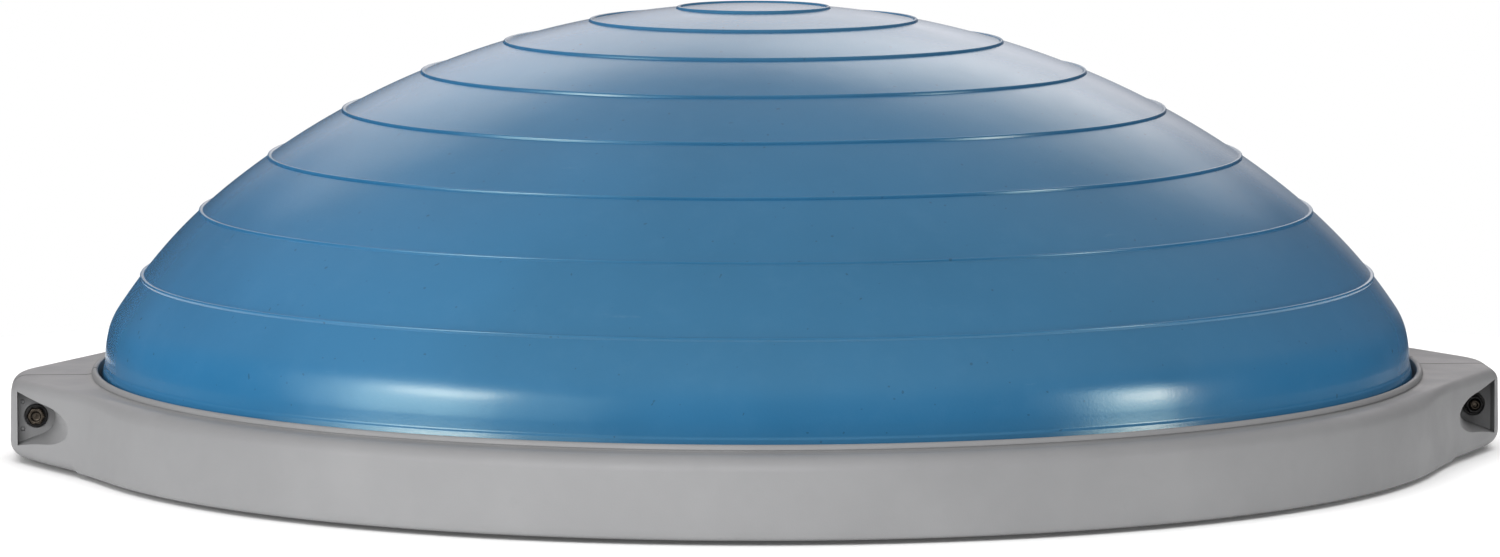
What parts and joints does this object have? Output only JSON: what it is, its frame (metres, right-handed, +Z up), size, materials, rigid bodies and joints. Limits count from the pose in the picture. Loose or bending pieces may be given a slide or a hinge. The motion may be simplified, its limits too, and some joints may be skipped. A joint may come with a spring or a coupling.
{
  "type": "balance dome trainer",
  "caption": "Inflated ribbed half-dome clamped by a split bolted rim to a round rigid platform, for standing balance exercise.",
  "frame": {"origin": "on the floor under the centre of the platform", "axes": "+Z up along the dome's axis, X through the two clamp ears, -Y the front, with the air valve at the back (+Y)"},
  "size_m": [0.699, 0.649, 0.2115],
  "materials": {
    "dome_blue": "satin moulded flexible PVC",
    "rim_grey": "fine-grained moulded plastic",
    "plate_grey": "matt moulded plastic",
    "rubber_black": "matt rubber",
    "screw_steel": "zinc plated",
    "bolt_steel": "zinc plated",
    "washer_black": "black oxide",
    "valve_white": "soft moulded plastic"
  },
  "bodies": {
    "platform": {"base_plate": "plate_grey", "front_rim_half": "rim_grey", "rear_rim_half": "rim_grey", "left_clamp_bolt": "bolt_steel", "left_clamp_nut": "washer_black", "left_head_washer": "washer_black", "left_nut_washer": "washer_black", "right_clamp_bolt": "bolt_steel", "right_clamp_nut": "washer_black", "right_head_washer": "washer_black", "right_nut_washer": "washer_black", "foot_1": "rubber_black", "foot_2": "rubber_black", "foot_3": "rubber_black", "foot_4": "rubber_black", "foot_5": "rubber_black", "foot_6": "rubber_black", "foot_7": "rubber_black", "foot_8": "rubber_black", "foot_screw_1": "screw_steel", "foot_screw_2": "screw_steel", "foot_screw_3": "screw_steel", "foot_screw_4": "screw_steel", "foot_screw_5": "screw_steel", "foot_screw_6": "screw_steel", "foot_screw_7": "screw_steel", "foot_screw_8": "screw_steel", "valve_seat": "valve_white"},
    "dome": {"dome_bladder": "dome_blue"},
    "valve_plug": {"valve_plug": "valve_white"}
  },
  "joints": [
    {"name": "dome_press", "type": "slide", "parent": "platform", "child": "dome", "axis": [0, 0, -1], "range_m": [0, 0.045], "stiffness_N_per_m": 15000, "springref_m": -0.002, "deforming": ["dome_bladder"]},
    {"name": "valve_pull", "type": "slide", "parent": "platform", "child": "valve_plug", "axis": [0, 0.9397, 0.342], "range_m": [0, 0.02]}
  ]
}
